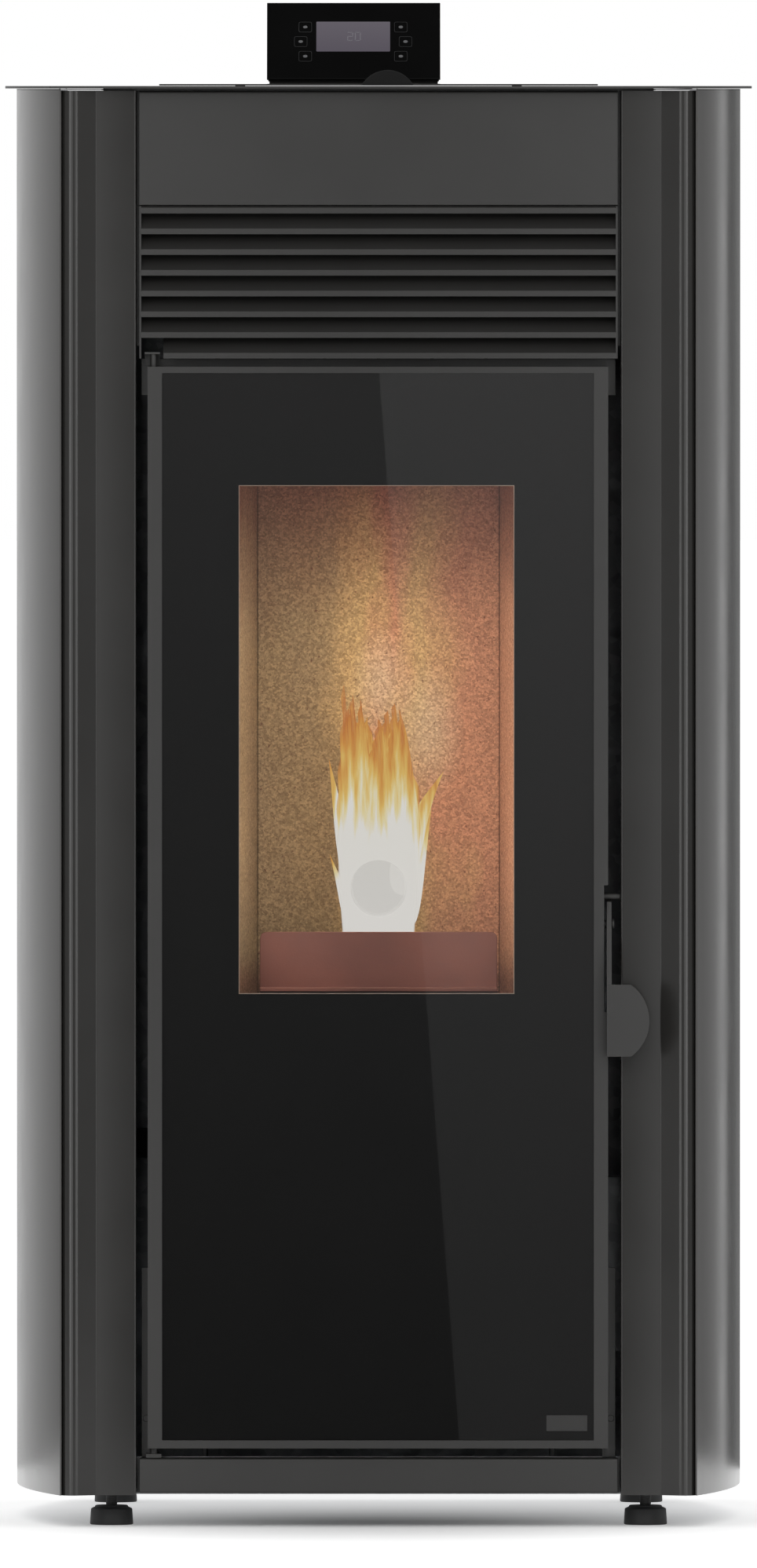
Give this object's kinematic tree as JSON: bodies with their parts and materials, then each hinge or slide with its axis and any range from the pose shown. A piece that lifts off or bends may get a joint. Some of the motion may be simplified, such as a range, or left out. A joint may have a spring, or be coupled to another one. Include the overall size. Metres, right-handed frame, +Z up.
{
  "type": "pellet stove",
  "caption": "Free-standing pellet stove with a tall glazed door, bowed side panels, a louvred warm-air grille, a top hopper lid and a tilted touch panel.",
  "frame": {"origin": "on the floor, under the middle of the overall box", "axes": "+Z up, -Y towards the front (the door), +X towards the right of someone facing the stove"},
  "size_m": [0.6, 0.62, 1.2155],
  "materials": {
    "casing_paint": "fine satin anthracite paint",
    "side_paint": "semi-gloss grey paint",
    "inner_steel": "bare galvanised sheet",
    "black_steel": "matt black heat-proof paint",
    "cast_iron": "rough cast",
    "vermiculite": "pressed vermiculite board, rough and speckled",
    "stove_glass": "glass with a black printed surround and a clear window",
    "panel_glass": "black printed touch glass",
    "rope_seal": "woven glass rope",
    "motor_case": "cast alloy",
    "foot_rubber": "black moulded rubber on a steel stud",
    "black_plastic": "fine-grained black plastic"
  },
  "bodies": {
    "casing": {"base_tray": "inner_steel", "left_column": "casing_paint", "right_column": "casing_paint", "left_side_panel": "side_paint", "right_side_panel": "side_paint", "rear_panel": "inner_steel", "top_plate": "casing_paint", "front_top_panel": "casing_paint", "front_base_rail": "casing_paint", "front_grille": "casing_paint", "firebox": "black_steel", "back_lining": "vermiculite", "left_lining": "vermiculite", "right_lining": "vermiculite", "flame_baffle": "vermiculite", "burn_pot_cradle": "cast_iron", "burn_pot": "cast_iron", "ash_guard_plate": "cast_iron", "upper_door_surround": "black_steel", "left_lower_surround": "black_steel", "right_lower_surround": "black_steel", "upper_hinge": "black_steel", "lower_hinge": "black_steel", "latch_striker": "inner_steel", "hopper": "inner_steel", "auger_tube": "inner_steel", "auger_gearmotor": "motor_case", "pellet_chute": "inner_steel", "lid_seal": "rope_seal", "warm_air_duct": "inner_steel", "smoke_fan_housing": "inner_steel", "smoke_fan_motor": "motor_case", "flue_collar": "inner_steel", "combustion_air_pipe": "inner_steel", "igniter": "inner_steel", "room_fan_housing": "inner_steel", "room_fan_motor": "motor_case", "control_board": "black_plastic", "power_inlet": "black_plastic", "switch_frame": "black_plastic", "display_glass": "panel_glass", "display_shell": "black_plastic", "display_stand": "casing_paint"},
    "door": {"door_frame": "casing_paint", "door_glass": "stove_glass", "glass_retainer": "black_steel", "door_seal": "rope_seal", "latch_pivot": "black_steel"},
    "latch_lever": {"latch_lever": "casing_paint"},
    "hopper_lid": {"hopper_lid": "casing_paint", "lid_tab": "black_steel"},
    "ash_drawer": {"ash_drawer": "inner_steel"},
    "auger_screw": {"auger_screw": "inner_steel"},
    "smoke_fan_wheel": {"smoke_fan_wheel": "inner_steel"},
    "room_fan_wheel": {"room_fan_wheel": "inner_steel"},
    "switch_rocker": {"switch_rocker": "black_plastic"},
    "foot_front_left": {"levelling_foot_front_left": "foot_rubber"},
    "foot_front_right": {"levelling_foot_front_right": "foot_rubber"},
    "foot_rear_left": {"levelling_foot_rear_left": "foot_rubber"},
    "foot_rear_right": {"levelling_foot_rear_right": "foot_rubber"}
  },
  "joints": [
    {"name": "door_hinge", "type": "hinge", "parent": "casing", "child": "door", "pos_m": [-0.179, -0.28, 0.49], "axis": [0, 0, -1], "range_deg": [0, 105]},
    {"name": "latch_turn", "type": "hinge", "parent": "door", "child": "latch_lever", "pos_m": [0.1836, -0.277, 0.4806], "axis": [-1, 0, 0], "range_deg": [0, 30]},
    {"name": "lid_hinge", "type": "hinge", "parent": "casing", "child": "hopper_lid", "pos_m": [0, 0.203, 1.1423], "axis": [-1, 0, 0], "range_deg": [0, 80]},
    {"name": "drawer_slide", "type": "slide", "parent": "casing", "child": "ash_drawer", "axis": [0, -1, 0], "range_m": [0, 0.12]},
    {"name": "auger_turn", "type": "hinge", "parent": "casing", "child": "auger_screw", "pos_m": [0, 0.1, 0.65], "axis": [0, 1, 0], "continuous": true},
    {"name": "smoke_fan_turn", "type": "hinge", "parent": "casing", "child": "smoke_fan_wheel", "pos_m": [0.115, 0.045, 0.1996], "axis": [0, 1, 0], "continuous": true},
    {"name": "room_fan_turn", "type": "hinge", "parent": "casing", "child": "room_fan_wheel", "pos_m": [-0.11, 0.08, 0.1039], "axis": [0, 1, 0], "continuous": true},
    {"name": "switch_turn", "type": "hinge", "parent": "casing", "child": "switch_rocker", "pos_m": [-0.14, 0.2615, 0.2896], "axis": [1, 0, 0], "range_deg": [0, 16]},
    {"name": "foot_front_left_screw", "type": "slide", "parent": "casing", "child": "foot_front_left", "axis": [0, 0, -1], "range_m": [0, 0.015]},
    {"name": "foot_front_right_screw", "type": "slide", "parent": "casing", "child": "foot_front_right", "axis": [0, 0, -1], "range_m": [0, 0.015]},
    {"name": "foot_rear_left_screw", "type": "slide", "parent": "casing", "child": "foot_rear_left", "axis": [0, 0, -1], "range_m": [0, 0.015]},
    {"name": "foot_rear_right_screw", "type": "slide", "parent": "casing", "child": "foot_rear_right", "axis": [0, 0, -1], "range_m": [0, 0.015]}
  ],
  "couplings": [
    {"joint": "drawer_slide", "follows": "door_hinge", "m_per_rad": 0.06}
  ]
}
